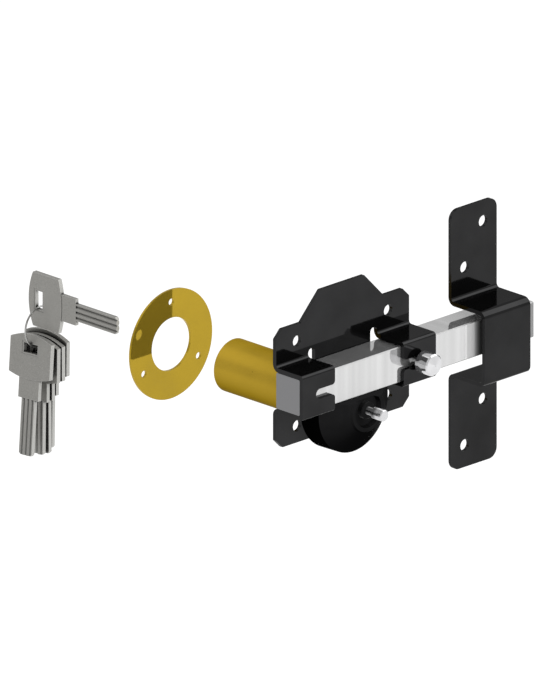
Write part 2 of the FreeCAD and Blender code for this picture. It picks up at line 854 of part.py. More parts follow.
def tooth_gap(sketch):
    """Draw the gap between two gear teeth, centred below the axis."""
    module = SIZES["gear_module"]
    teeth = SIZES["gear_teeth"]
    pitch = module * teeth / 2
    press = math.radians(SIZES["pressure_angle"])
    base = pitch * math.cos(press)
    tip = pitch + SIZES["gear_addendum"]
    floor = pitch - SIZES["rack_sink"] - SIZES["root_clearance"]
    flank_turn = math.tan(press) - press
    half_gap = math.pi / (2 * teeth) + SIZES["tooth_backlash"] / (2 * pitch)
    start = half_gap - flank_turn
    over = math.sqrt(((tip + 0.6) / base) ** 2 - 1)
    flank = []
    for step in range(5):
        x, y = involute(base, over * step / 4)
        turn = start
        flank.append((x * math.cos(turn) + y * math.sin(turn),
                      y * math.cos(turn) - x * math.sin(turn)))
    foot = (floor * math.sin(start), floor * math.cos(start))
    right = [foot] + flank
    left = [(-x, y) for x, y in reversed(right)]
    spots = [FreeCAD.Vector(x, -y, 0) for x, y in right + left]
    foot_right = spots[0]
    foot_left = spots[-1]
    crown = FreeCAD.Vector(0, -(tip + 0.6), 0)
    pieces = [Part.LineSegment(foot_right, spots[1]), curve_through(spots[1:6]),
              Part.Arc(spots[5], crown, spots[6]), curve_through(spots[6:11]),
              Part.LineSegment(spots[10], foot_left),
              Part.Arc(foot_left, FreeCAD.Vector(0, -floor, 0), foot_right)]
    for item in pieces:
        index = sketch.addGeometry(item)
        sketch.addConstraint(Sketcher.Constraint("Block", index))


def curve_through(spots):
    curve = Part.BSplineCurve()
    curve.interpolate(spots)
    return curve


def drive_gear():
    """Nine-tooth pinion with a long hub: pin bore in front, square socket behind."""
    tip = pitch_radius + S.gear_addendum
    piece = turned("drive_gear", [
        (0, -gear_front), (tip, -gear_front), (tip, -gear_back), (S.gear_hub_radius, -gear_back),
        (S.gear_hub_radius, -hub_back), (0, -hub_back)])
    gap = piece.sketch("XZ_Plane", gear_front + 0.5)
    tooth_gap(gap)
    cut = piece.pocket(gap, S.gear_width + 0.5)
    piece.repeat_round(cut, gap, S.gear_teeth)
    bore = piece.sketch("XZ_Plane", gear_front + 0.5)
    circle(bore, 0, 0, S.pin_stem_radius + S.guide_gap * 2)
    piece.pocket(bore, gear_front + 0.5 - S.gear_grip_end)
    socket = piece.sketch("XZ_Plane", hub_back - 0.5)
    half = S.tail_square / 2 + S.tail_gap
    rectangle(socket, -half, -half, half, half)
    piece.pocket(socket, S.gear_grip_end - hub_back + 0.6, reverse=True)
    return piece.body


def bolt():
    """Rectangular bar with chamfered edges, a rack cut in its underside, a tapped hole."""
    piece = Piece("bolt")
    section = piece.sketch("YZ_Plane", bolt_left)
    rectangle(section, -bolt_front, -half_bolt, -bolt_back, half_bolt)
    piece.pad(section, S.bolt_length)
    corners = [(y, z) for y in (-bolt_front, -bolt_back) for z in (-half_bolt, half_bolt)]
    piece.soften("Chamfer", piece.edges(0, corners), S.bolt_edge)

    pitch = S.gear_module * math.pi
    slope = math.tan(math.radians(SIZES["pressure_angle"]))
    low = -half_bolt - 0.5
    high = -half_bolt + S.rack_sink + S.gear_addendum + S.root_clearance
    line = -half_bolt + S.rack_sink
    half_gap = pitch / 4 + S.tooth_backlash / 2
    wide = half_gap + (line - low) * slope
    narrow = half_gap - (high - line) * slope
    first = axis_x - pitch * 2
    rack = piece.sketch("XZ_Plane", gear_middle)
    outline(rack, [(first - wide, low), (first + wide, low), (first + narrow, high),
                   (first - narrow, high)])
    gap = piece.pocket(rack, S.rack_width, middle=True)
    spaces = S.gear_teeth * S.key_turns + 3.5
    piece.repeat_along(gap, rack, "H_Axis", pitch * spaces, spaces + 1)

    tapped = piece.sketch("XZ_Plane", bolt_front + 0.5)
    circle(tapped, knob_rest, 0, S.stud_radius + S.stud_gap)
    piece.pocket(tapped, S.stud_grip + 1)
    return piece.body


def knob():
    """Chrome pull knob, a short cylinder with a bevelled rim and a shallow cone in front."""
    bore = S.stud_radius + S.stud_gap
    blind = knob_back + S.stud_in_knob + 0.5
    face = knob_back + S.knob_length
    piece = turned("knob", [
        (bore, -knob_back), (S.knob_radius - S.knob_edge, -knob_back),
        (S.knob_radius, -(knob_back + S.knob_edge)), (S.knob_radius, -(face - S.knob_rim)),
        (S.knob_radius - S.knob_rim, -face), (0, -(face + S.knob_cone)),
        (0, -blind), (bore, -blind)], x=knob_rest, z=0)
    return piece.body


def knob_stud():
    """Steel stud that joins the knob to the bolt and runs in the bridge slots."""
    rear = bolt_front - S.stud_grip
    front = knob_back + S.stud_in_knob
    return turned("knob_stud", [
        (0, -rear), (S.stud_radius - 0.6, -rear), (S.stud_radius, -(rear + 0.6)),
        (S.stud_radius, -front), (0, -front)], x=knob_rest, z=0).body


def pin_guide():
    """Guide bush in the boss, closed in front but for the pin's bore."""
    inner = S.guide_radius - S.guide_wall
    step = S.housing_depth - S.guide_front_wall
    bore = S.pin_stem_radius + S.guide_gap
    return turned("pin_guide", [
        (bore, -S.housing_depth), (S.guide_radius - 0.5, -S.housing_depth),
        (S.guide_radius, -(S.housing_depth - 0.5)), (S.guide_radius, -web_back),
        (inner, -web_back), (inner, -step), (bore, -step)]).body


def release_pin():
    """Sprung chrome push pin with an inner collar that stops against its guide."""
    back = S.housing_depth + S.pin_travel + S.pin_stop_gap
    front = back + S.pin_head_length
    stop = S.housing_depth - S.guide_front_wall - 0.02
    tip = gear_front - S.pin_tip_reach
    return turned("release_pin", [
        (0, -tip), (S.pin_stem_radius - 0.5, -tip), (S.pin_stem_radius, -(tip + 0.5)),
        (S.pin_stem_radius, -(stop - S.pin_collar_width)),
        (S.pin_collar_radius, -(stop - S.pin_collar_width)), (S.pin_collar_radius, -stop),
        (S.pin_stem_radius, -stop), (S.pin_stem_radius, -back), (S.pin_head_radius, -back),
        (S.pin_head_radius, -(front - S.pin_edge)), (S.pin_head_radius - S.pin_edge, -front),
        (0, -front)]).body


def spring_seat():
    """Washer that closes the guide behind the spring."""
    inner = S.guide_radius - S.guide_wall
    return turned("spring_seat", [
        (S.pin_stem_radius + 0.1, -(web_back + S.seat_washer)),
        (inner - 0.03, -(web_back + S.seat_washer)),
        (inner - 0.03, -web_back), (S.pin_stem_radius + 0.1, -web_back)]).body


def pin_spring():
    """Coil spring round the pin's stem, one unbroken wire, short of solid when the pin is in."""
    wire = SIZES["spring_wire"] / 2
    stop = number(S.housing_depth - S.guide_front_wall - 0.02 - S.pin_collar_width)
    seat = number(web_back + S.seat_washer)
    length = stop - seat - 2 * wire - 0.1
    radius = SIZES["pin_stem_radius"] + wire + 0.35
    coil = Part.makeHelix(length / SIZES["spring_turns"], length, radius)
    start = FreeCAD.Vector(radius, 0, 0)
    corners = []
    for step in range(9):
        angle = math.radians(22.5 + 45 * step)
        corners.append(start + FreeCAD.Vector(wire * math.cos(angle), 0, wire * math.sin(angle)))
    section = Part.makePolygon(corners)
    solid = Part.Wire(coil.Edges).makePipeShell([section], True, True)
    spring = doc.addObject("Part::Feature", "pin_spring")
    spring.Label = "pin_spring"
    spring.Shape = solid
    place(spring, axis_x, -(web_back + S.seat_washer + S.spring_wire / 2 + 0.05), axis_z,
          FreeCAD.Rotation(FreeCAD.Vector(1, 0, 0), 90))
    return spring


def keeper():
    """Staple keeper: one strap folded forward round the end of the bolt."""
    piece = Piece("keeper", bolt_left + S.bolt_length - S.keeper_from_tip, 0, S.keeper_centre_z)
    half = S.keeper_width / 2
    tall = S.keeper_height / 2
    sheet = S.keeper_sheet
    top = S.keeper_bow_height / 2 + S.keeper_bow_rise
    low = top - S.keeper_bow_height
    deep = S.keeper_bow_depth
    fold = piece.sketch("YZ_Plane")
    outline(fold, [(0, tall), (-sheet, tall), (-sheet, top), (-deep, top), (-deep, low),
                   (-sheet, low), (-sheet, -tall), (0, -tall), (0, low + sheet),
                   (-(deep - sheet), low + sheet), (-(deep - sheet), top - sheet),
                   (0, top - sheet)])
    piece.pad(fold, S.keeper_width, middle=True)
    inner_bends = [(-sheet, top), (-sheet, low), (-(deep - sheet), top - sheet),
                   (-(deep - sheet), low + sheet)]
    outer_bends = [(0, top - sheet), (0, low + sheet), (-deep, top), (-deep, low)]
    piece.soften("Fillet", piece.edges(0, inner_bends), S.keeper_bend)
    piece.soften("Fillet", piece.edges(0, outer_bends), S.keeper_bend + sheet)
    ends = [(x, z) for x in (half, -half) for z in (tall, -tall)]
    piece.soften("Fillet", piece.edges(1, ends), S.keeper_corner)
    holes = piece.sketch("XZ_Plane")
    for side in (-1, 1):
        for level in (-1, 1):
            middle = S.keeper_hole_stagger / 2 * side
            z = middle + S.keeper_hole_line / 2 * level
            circle(holes, S.keeper_hole_width / 2 * side, S.keeper_hole_rise + z,
                   S.keeper_hole_radius)
    piece.pocket(holes, sheet * 3, middle=True)
    return piece.body


def cover_ring():
    """Thin brass ring that slides on the barrel, with three screw holes."""
    bore = S.barrel_radius + S.ring_bore_gap
    piece = turned("cover_ring", [
        (bore, 0), (S.ring_radius, 0), (S.ring_radius, S.ring_thickness - S.ring_edge),
        (S.ring_radius - S.ring_edge, S.ring_thickness), (bore, S.ring_thickness)],
        y=S.ring_stand)
    hole = piece.sketch("XZ_Plane")
    circle(hole, 0, S.ring_hole_circle / 2, S.ring_hole_radius)
    drill = piece.pocket(hole, S.ring_thickness * 3, middle=True)
    piece.repeat_round(drill, hole, 3)
    return piece.body


blade_start = S.blade_length
bow_start = S.blade_length + S.collar_length
side_start = bow_start + S.bow_neck_rise
side_end = side_start + S.bow_side
key_length = side_end + S.bow_end_rise


def arc_radius(chord, rise):
    return (chord * chord / 4 + rise * rise) / (rise * 2)


def key_outline(sketch):
    """Blade, collar and bow with two bowed ends, drawn tip first along the sketch's X."""
    blade = S.blade_width / 2
    collar = S.collar_width / 2
    wide = S.bow_width / 2
    neck_depth = neck_setback()
    corners = [(side_start, wide), (side_end, wide), (side_end, -wide), (side_start, -wide),
               (bow_start + neck_depth, -collar), (blade_start, -collar),
               (blade_start, -blade), (0, -blade), (0, blade), (blade_start, blade),
               (blade_start, collar), (bow_start + neck_depth, collar)]
    bowed = {1: arc_radius(S.bow_width, S.bow_end_rise),
             3: arc_radius(S.bow_width, S.bow_neck_rise),
             11: arc_radius(S.bow_width, S.bow_neck_rise)}
    spots = [FreeCAD.Vector(number(x), number(y), 0) for x, y in corners]
    items = []
    for index, start in enumerate(spots):
        end = spots[(index + 1) % len(spots)]
        if index in bowed:
            items.append(sketch.addGeometry(shallow_arc(start, end, number(bowed[index]))))
        else:
            items.append(sketch.addGeometry(Part.LineSegment(start, end)))
    arc_ends = {index: arc_direction(sketch, items[index], spots[index]) for index in bowed}
    for index, item in enumerate(items):
        following = (index + 1) % len(items)
        end = arc_ends[index][1] if index in bowed else 2
        start = arc_ends[following][0] if following in bowed else 1
        sketch.addConstraint(Sketcher.Constraint("Coincident", item, end, items[following], start))
    for index, (x, y) in enumerate(corners):
        start = arc_ends[index][0] if index in bowed else 1
        pin_point(sketch, items[index], start, x, y)
    for index, radius in bowed.items():
        fix_radius(sketch, items[index], radius)


def neck_setback():
    """How far the bow's rounded inner end has drawn back where it meets the collar."""
    radius = arc_radius(S.bow_width, S.bow_neck_rise)
    reach = S.collar_width / 2
    return radius - root(radius * radius - reach * reach)


def shallow_arc(start, end, radius):
    """Arc of less than a half turn, bulging to the left of the way from start to end."""
    chord = end - start
    side = FreeCAD.Vector(-chord.y, chord.x, 0).normalize()
    rise = radius - math.sqrt(radius ** 2 - (chord.Length / 2) ** 2)
    return Part.Arc(start, (start + end) / 2 + side * rise, end)


def arc_direction(sketch, index, start):
    """Which of the arc's own ends is the outline's start, and which its end."""
    first = sketch.getPoint(index, 1)
    return (1, 2) if (first - start).Length < 1e-6 else (2, 1)


def key(label, x, y, z, turn=None):
    """A flat key: blade with lengthwise grooves, collar, and bow with its slot."""
    piece = Piece(label, x, y, z, turn)
    flat = piece.sketch("YZ_Plane")
    key_outline(flat)
    piece.pad(flat, S.key_sheet, middle=True)
    tips = [(0, S.blade_width / 2), (0, -(S.blade_width / 2))]
    piece.soften("Chamfer", piece.edges(0, tips), S.blade_tip)

    slot = piece.sketch("YZ_Plane")
    far = key_length - S.key_slot_edge
    half = S.key_slot_length / 2
    rectangle(slot, far - S.key_slot_width, -half, far, half)
    piece.pocket(slot, S.key_sheet * 2, middle=True)

    for face in (1, -1):
        skin = S.key_sheet / 2 * face
        frame = piece.sketch("YZ_Plane", skin)
        rectangle(frame, far - S.key_slot_width - S.slot_frame, -half - S.slot_frame,
                  far + S.slot_frame, half + S.slot_frame)
        piece.pocket(frame, S.slot_frame_depth, reverse=face < 0)
        shank = piece.sketch("YZ_Plane", skin)
        shank_outline(shank)
        piece.pocket(shank, S.blade_relief, reverse=face < 0)

    grooves = piece.sketch("XZ_Plane", 1)
    for face in (1, -1):
        skin = (S.key_sheet / 2 - S.blade_relief) * face
        deep = skin - S.blade_groove_depth * face
        for line in (-1, 0, 1):
            middle = S.blade_groove_pitch * line
            reach = S.blade_groove_width / 2
            slope = reach / S.blade_groove_depth
            outline(grooves, [(skin + 0.1 * face, middle - reach - 0.1 * slope),
                              (deep, middle), (skin + 0.1 * face, middle + reach + 0.1 * slope)])
    piece.pocket(grooves, blade_start + 1)
    return piece.body


def shank_outline(sketch):
    """Collar and blade up to the bow's rounded inner end, as one closed outline."""
    half = S.collar_width / 2
    shoulder = bow_start + neck_setback()
    corners = [(shoulder, half), (-1, half), (-1, -half), (shoulder, -half)]
    spots = [FreeCAD.Vector(number(x), number(y), 0) for x, y in corners]
    lines = [sketch.addGeometry(Part.LineSegment(spots[i], spots[i + 1])) for i in range(3)]
    radius = arc_radius(S.bow_width, S.bow_neck_rise)
    neck = sketch.addGeometry(shallow_arc(spots[3], spots[0], number(radius)))
    first, last = arc_direction(sketch, neck, spots[3])
    sketch.addConstraint(Sketcher.Constraint("Coincident", lines[0], 2, lines[1], 1))
    sketch.addConstraint(Sketcher.Constraint("Coincident", lines[1], 2, lines[2], 1))
    sketch.addConstraint(Sketcher.Constraint("Coincident", lines[2], 2, neck, first))
    sketch.addConstraint(Sketcher.Constraint("Coincident", neck, last, lines[0], 1))
    for line, (x, y) in zip(lines, corners):
        pin_point(sketch, line, 1, x, y)
    pin_point(sketch, lines[2], 2, *corners[3])
    fix_radius(sketch, neck, radius)


def hung_key(label, index):
    """A spare key whose slot rests on the bottom of the wire ring."""
    offset = getattr(S, "spare_%d_shift" % (index + 1))
    swing, lean = math.radians(SPARE_SWING[index]), math.radians(SPARE_LEAN[index])
    edge = S.key_sheet / 2
    side = math.copysign(1.0, offset.value)
    outer = offset + edge * side
    drop = root(S.wire_ring_radius * S.wire_ring_radius - outer * outer)
    slope = 1.0 / math.cos(math.asin(outer.value / SIZES["wire_ring_radius"]))
    wire_top = ring_centre_z() - drop + S.wire_radius * slope + S.wire_gap
    slot_end = wire_top + edge * (side * math.sin(lean))
    far = key_length - S.key_slot_edge
    stand = FreeCAD.Rotation(FreeCAD.Vector(0, 1, 0), SPARE_LEAN[index]).multiply(
        FreeCAD.Rotation(FreeCAD.Vector(1, 0, 0), 90 + SPARE_SWING[index]))
    x = ring_x() + offset - far * (math.cos(swing) * math.sin(lean))
    y = ring_y() + far * math.sin(swing)
    z = slot_end - far * (math.cos(swing) * math.cos(lean))
    return key(label, x, y, z, stand)


def ring_x():
    return axis_x + S.wire_ring_shift


def ring_y():
    """The wire ring hangs in the working key's slot."""
    return (S.key_tip_stand + key_length - S.key_slot_edge - S.key_slot_width / 2
            + S.wire_ring_shift)


def ring_centre_z():
    """Its wire rests on the lower end of that slot."""
    outer = S.wire_ring_shift + S.key_sheet / 2
    rise = root(S.wire_ring_radius * S.wire_ring_radius - outer * outer)
    return axis_z - S.key_slot_length / 2 + S.wire_radius * 1.03 + S.wire_gap - rise


def wire_ring():
    """Closed ring of thin wire that carries the spare keys."""
    ring = doc.addObject("Part::Torus", "wire_ring")
    ring.Label = "wire_ring"
    bind(ring, "Radius1", S.wire_ring_radius)
    bind(ring, "Radius2", S.wire_radius)
    place(ring, ring_x(), ring_y(), ring_centre_z(), ALONG_Y)
    return ring


def build():
    """Make every sub-part in turn."""
    inner = S.barrel_length - S.core_length - S.barrel_web
    parts = [back_plate(), gear_housing(), cover_screws(), barrel(), barrel_screws(),
             tail_bush(), core()]
    parts.append(clip_ring("core_clip", inner - 0.15,
                           S.core_neck_radius - S.core_clip_groove + S.clip_gap,
                           S.core_clip_radius, S.core_clip_thickness))
    parts += tumblers()
    parts += [drive_tail(), drive_gear(), bolt(), knob(), knob_stud(), pin_guide(),
              release_pin(), spring_seat(), pin_spring(), keeper(), cover_ring()]
    parts.append(key("working_key", axis_x, S.key_tip_stand, axis_z))
    for index in range(len(SPARE_SWING)):
        parts.append(hung_key("spare_key_%d" % (index + 1), index))
    parts.append(wire_ring())
    return parts


def check(parts):
    """Stop if any object failed or any sub-part is not a sound solid."""
    doc.recompute()
    for thing in doc.Objects:
        bad = [word for word in thing.State if word in ("Invalid", "Error")]
        if bad:
            raise RuntimeError("%s is %s" % (thing.Name, bad))
    for part in parts:
        shape = part.Shape
        if shape.isNull() or not shape.isValid() or not shape.Solids:
            raise RuntimeError("%s has no sound shape" % part.Label)


def write(parts):
    """Write each sub-part to its own file."""
    os.makedirs("parts", exist_ok=True)
    for part in parts:
        part.Shape.exportStep("parts/%s.step" % part.Label)
        box = part.Shape.BoundBox
        print("%-16s %2d solids %10.1f mm3  x %.1f..%.1f y %.1f..%.1f z %.1f..%.1f" % (
            part.Label, len(part.Shape.Solids), part.Shape.Volume, box.XMin, box.XMax,
            box.YMin, box.YMax, box.ZMin, box.ZMax))


sub_parts = build()
check(sub_parts)
write(sub_parts)
print("%d sub-parts, throw %.2f mm" % (len(sub_parts), throw.value))
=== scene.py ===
import json
import math

import bpy
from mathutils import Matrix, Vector


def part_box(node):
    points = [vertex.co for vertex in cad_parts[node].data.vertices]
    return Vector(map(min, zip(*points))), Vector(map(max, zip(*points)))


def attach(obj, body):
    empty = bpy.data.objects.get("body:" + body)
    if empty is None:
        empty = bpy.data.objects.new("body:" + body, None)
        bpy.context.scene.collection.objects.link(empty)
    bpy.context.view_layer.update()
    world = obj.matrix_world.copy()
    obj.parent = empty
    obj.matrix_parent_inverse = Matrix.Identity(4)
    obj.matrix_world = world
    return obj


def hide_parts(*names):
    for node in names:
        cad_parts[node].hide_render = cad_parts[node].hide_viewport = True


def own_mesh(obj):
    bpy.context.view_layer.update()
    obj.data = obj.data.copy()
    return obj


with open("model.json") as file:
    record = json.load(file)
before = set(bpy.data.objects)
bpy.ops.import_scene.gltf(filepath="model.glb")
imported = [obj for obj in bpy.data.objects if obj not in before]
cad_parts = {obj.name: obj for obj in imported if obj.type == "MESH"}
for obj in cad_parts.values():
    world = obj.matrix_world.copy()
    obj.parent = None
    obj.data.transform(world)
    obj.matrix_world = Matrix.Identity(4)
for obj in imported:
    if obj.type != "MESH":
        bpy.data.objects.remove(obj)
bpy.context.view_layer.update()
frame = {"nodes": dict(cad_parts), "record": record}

nodes = frame["nodes"]

MM = 0.001


# ---------------------------------------------------------------- node helpers

class Material:
    """A node material with short names for the usual nodes. Sizes are in millimetres."""

    def __init__(self, name, shade, base, metallic, rough, **sockets):
        self.made = bpy.data.materials.new(name)
        self.made.use_nodes = True
        self.made.diffuse_color = (*base, 1.0)
        self.tree = self.made.node_tree
        self.shader = self.tree.nodes["Principled BSDF"]
        plain = {"Base Color": (*base, 1.0), "Metallic": metallic, "Roughness": rough}
        for socket, value in {**plain, **sockets}.items():
            self.shader.inputs[socket.replace("_", " ")].default_value = value
        self.base = base
        self.metallic = metallic
        self.rough = rough
        self.tone = None        # the socket that feeds the base colour
        shade(self)

    def feed(self, socket, value):
        """Link a socket to an output, or set it to a plain value."""
        if isinstance(value, bpy.types.NodeSocket):
            self.tree.links.new(value, socket)
        else:
            socket.default_value = value

    def node(self, kind, inputs=None, **settings):
        made = self.tree.nodes.new("ShaderNode" + kind)
        for key, value in settings.items():
            setattr(made, key, value)
        for key, value in (inputs or {}).items():
            self.feed(made.inputs[key], value)
        return made

    def place(self, stretch=(1, 1, 1), turn=(0, 0, 0)):
        """The object's own coordinates, stretched along an axis for grain."""
        at = self.node("TexCoord").outputs["Object"]
        inputs = {"Vector": at, "Rotation": turn, "Scale": stretch}
        return self.node("Mapping", inputs).outputs["Vector"]

    def axes(self, vector):
        """The three parts of a vector, by the names X, Y and Z."""
        return self.node("SeparateXYZ", {"Vector": vector}).outputs

    def facing(self, kind="Normal"):
        """Where a face looks, as the three parts of its normal."""
        return self.axes(self.node("NewGeometry").outputs[kind])

    def noise(self, size_mm, detail=3.0, rough=0.5, where=None):
        inputs = {"Vector": where or self.place(), "Scale": 1000.0 / size_mm,
                  "Detail": detail, "Roughness": rough}
        return self.node("TexNoise", inputs).outputs["Fac"]

    def remap(self, value, low, high, to_low=0.0, to_high=1.0):
        inputs = {"Value": value, "From Min": low, "From Max": high,
                  "To Min": to_low, "To Max": to_high}
        return self.node("MapRange", inputs).outputs["Result"]

    def math(self, operation, a, b=0.0):
        return self.node("Math", {0: a, 1: b}, operation=operation).outputs[0]

    def times(self, a, b):
        return self.math("MULTIPLY", a, b)

    def mix(self, factor, under, over):
        """A colour laid over another by a factor from 0 to 1. Each is a socket or three numbers."""
        under, over = (colour if isinstance(colour, bpy.types.NodeSocket) else (*colour, 1.0)
                       for colour in (under, over))
        return self.node("Mix", {0: factor, 6: under, 7: over}, data_type="RGBA").outputs[2]

    def tint(self, *amounts):
        """The base colour times one amount, or times an amount for each channel."""
        amounts = amounts if len(amounts) == 3 else amounts * 3
        return tuple(channel * amount for channel, amount in zip(self.base, amounts))

    def mottle(self, noise, least, most, low=0.3, high=0.7):
        """The base colour, scaled between two amounts by a noise."""
        return self.mix(self.remap(noise, low, high), self.tint(least), self.tint(most))

    def colour(self, socket):
        self.tone = socket
        self.feed(self.shader.inputs["Base Color"], socket)

    def roughness(self, socket):
        self.feed(self.shader.inputs["Roughness"], socket)

    def varied_rough(self, noise, least, most):
        """The plain roughness, scaled between two amounts by a noise."""
        return self.remap(noise, 0.3, 0.7, self.rough * least, self.rough * most)

    def bump(self, height, depth_mm):
        made = self.node("Bump", {"Height": height, "Strength": 1.0, "Distance": depth_mm * MM})
        self.feed(self.shader.inputs["Normal"], made.outputs["Normal"])

    def edge_wear_and_painted_highlight(self, width_mm, noise, low=0.04, high=0.25):
        """High along outer edges, broken up by a noise. It marks wear, and on some finishes a
        painted highlight too.
        """
        bevel = self.node("Bevel", {"Radius": width_mm * MM}, samples=6)
        plain = self.node("NewGeometry").outputs["Normal"]
        dot = self.node("VectorMath", {0: bevel.outputs["Normal"], 1: plain},
                        operation="DOT_PRODUCT").outputs["Value"]
        return self.times(self.remap(self.math("SUBTRACT", 1.0, dot), low, high), noise)

    def openness(self, reach_mm):
        """1 on open faces, less where something is near."""
        inputs = {"Distance": reach_mm * MM}
        return self.node("AmbientOcclusion", inputs, samples=12).outputs["AO"]


def grey(level):
    return (level, level, level)


# ---------------------------------------------------------------- materials

BOLT_LOW, BOLT_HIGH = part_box("bolt")
DRUM_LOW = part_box("gear_housing")[0]
DRUM_RIM = DRUM_LOW.y + 12.9 * MM                   # where the rim meets the front
DRUM_MIDDLE = DRUM_LOW.z + 30.0 * MM                # about the height of the drum's axis
PIN_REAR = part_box("release_pin")[0].y + 6.5 * MM    # the head is painted darker from here back, a painted dark reflection

# Places along the bolt's front beside the keeper, each from none to full. They are fitted to the
# photograph, and stand for wear and for a painted reflection and painted shade of the keeper
# together.
WEAR_AND_REFLECTION_START = (0.0844, 0.0852)
PAINTED_REFLECTION_LIGHTER = (0.0865, 0.0925)
PAINTED_REFLECTION_FIRST_EDGE = (0.087, 0.0862)
PAINTED_KEEPER_SHADE = (0.0924, 0.104)
PAINTED_DARK_BAND_START, PAINTED_DARK_BAND_END = (0.0924, 0.0978), (0.104, 0.1005)


def enamel(m):
    """Gloss black enamel: faint orange peel, a little dust, edges painted lighter as wear and as a
    painted highlight.
    """
    peel = m.noise(3.2, detail=2.0)
    cloud = m.noise(26.0, detail=4.0)
    dust_and_painted_top_light = m.remap(m.noise(0.5, detail=2.0), 0.66, 0.74)
    # edges painted lighter: partly wear, partly painted highlight
    rim = m.edge_wear_and_painted_highlight(0.45, m.remap(m.noise(2.4), 0.42, 0.6))
    tone = m.mix(m.times(rim, 0.5), m.mottle(cloud, 0.86, 1.14), (0.075, 0.075, 0.078))
    m.colour(m.mix(m.times(dust_and_painted_top_light, 0.12), tone, grey(0.12)))
    m.roughness(m.varied_rough(cloud, 0.8, 1.25))
    m.bump(peel, 0.006)


def casting(m):
    """Black enamel over a casting: slightly grained and less glossy."""
    grain = m.noise(0.9, detail=4.0, rough=0.6)
    m.colour(m.mottle(m.noise(14.0, detail=3.0), 0.8, 1.25))
    m.roughness(m.varied_rough(grain, 0.85, 1.2))
    m.bump(grain, 0.008)


def drum_casting(m):
    """The housing's black, fitted to the photograph: painted light on top, painted shade below and
    on the rim.
    """
    casting(m)
    spot, facing = m.axes(m.place()), m.facing()
    # painted shade: faces that look down are darker
    tone = m.mix(m.remap(facing["Z"], 0.2, -0.6), m.tone, m.tint(0.3))
    # painted shade: the drum's side behind the rim is darker
    rim = m.times(m.remap(facing["Y"], -0.5, -0.2),
                  m.remap(spot["Y"], DRUM_RIM - 0.5 * MM, DRUM_RIM + 0.5 * MM))
    # painted light: faces looking up above the axis are lighter
    dust_and_painted_top_light = m.times(m.remap(facing["Z"], 0.6, 0.9),
                   m.remap(spot["Z"], DRUM_MIDDLE, DRUM_MIDDLE + 1.0 * MM))
    m.colour(m.mix(dust_and_painted_top_light, m.mix(rim, tone, m.tint(0.1)), m.tint(1.8)))


def ground_bar(m):
    """Bright bar: grinding lines and soft bands across it, scratches, dull ends and edges, and
    beside the keeper a rubbed patch with a painted reflection and painted shade of the keeper.
    """
    lines = m.noise(0.16, detail=3.0, where=m.place((1.0, 0.05, 0.02)))
    bands = m.noise(7.0, detail=1.5, where=m.place((1.0, 0.03, 0.02)))
    scratch = m.noise(0.6, detail=1.0, where=m.place((0.04, 1.0, 1.0), (0.0, 0.05, 0.02)))
    scratched = m.times(m.remap(scratch, 0.7, 0.78), 0.3)
    tone = m.mix(scratched, m.mottle(bands, 0.88, 1.04), m.tint(0.7))
    spot, face = m.axes(m.place()), m.facing("True Normal")
    edge = m.remap(m.math("ABSOLUTE", m.times(face["Y"], face["Z"])), 0.2, 0.3)

    # Beside the keeper the front is duller and less metallic as wear, and carries a painted
    # reflection of the keeper, lighter then darker; the darkening towards the keeper is painted
    # shade.
    front = m.remap(spot["Y"], BOLT_LOW.y + 0.4 * MM, BOLT_LOW.y + 0.2 * MM)
    wear_and_reflection_zone = m.times(m.remap(spot["X"], *WEAR_AND_REFLECTION_START), front)
    wear_and_painted_reflection = m.mix(m.remap(spot["X"], *PAINTED_REFLECTION_LIGHTER), grey(0.5), grey(0.84))
    wear_and_painted_reflection = m.mix(m.remap(spot["X"], *PAINTED_REFLECTION_FIRST_EDGE), wear_and_painted_reflection, grey(0.73))
    wear_and_painted_reflection = m.mix(m.remap(spot["X"], *PAINTED_KEEPER_SHADE), wear_and_painted_reflection, grey(0.22))
    # painted dark band: the keeper's dark inside, painted as a reflection
    painted_dark_band = m.times(m.remap(spot["X"], *PAINTED_DARK_BAND_START), m.remap(spot["X"], *PAINTED_DARK_BAND_END))
    wear_and_painted_reflection = m.mix(painted_dark_band, wear_and_painted_reflection, grey(0.08))

    middle = (BOLT_LOW.x + BOLT_HIGH.x) / 2
    half = BOLT_HIGH.x - middle
    from_middle = m.math("ABSOLUTE", m.math("SUBTRACT", spot["X"], middle))
    sawn = m.remap(from_middle, half - 0.3 * MM, half - 0.2 * MM)

    tone = m.mix(edge, m.mix(wear_and_reflection_zone, tone, wear_and_painted_reflection), m.tint(0.62))
    m.colour(m.mix(sawn, tone, (0.2, 0.2, 0.205)))
    dull = m.math("MAXIMUM", m.times(sawn, 0.32), m.times(wear_and_reflection_zone, 0.45))
    dull = m.math("MAXIMUM", dull, m.times(edge, 0.5))
    m.roughness(m.math("MAXIMUM", m.varied_rough(lines, 0.75, 1.3), dull))
    m.feed(m.shader.inputs["Metallic"], m.remap(wear_and_reflection_zone, 0.0, 1.0, m.metallic, 0.3))
    m.bump(lines, 0.0012)


def bright_plate(m):
    """Polished plating: almost a mirror, hairline scratches, painted shade where other parts are
    close.
    """
    haze = m.noise(5.0, detail=3.0)
    hair = m.noise(0.25, detail=2.0, where=m.place((1.0, 0.04, 1.0)))
    # painted shade: darker where other parts are near
    painted_close_shade = m.remap(m.openness(9.0), 0.92, 0.5)
    m.colour(m.mix(painted_close_shade, m.mottle(haze, 0.94, 1.0), m.tint(0.3)))
    m.roughness(m.varied_rough(haze, 0.6, 1.6))
    m.bump(hair, 0.0006)


def pin_plate(m):
    """The push pin's plating, with a painted dark reflection on the head's rear."""
    bright_plate(m)
    # painted reflection: the head's rear is darker
    painted_dark_reflection = m.remap(m.axes(m.place())["Y"], PIN_REAR - 2.2 * MM, PIN_REAR)
    m.colour(m.mix(m.times(painted_dark_reflection, 0.85), m.tone, m.tint(0.12)))


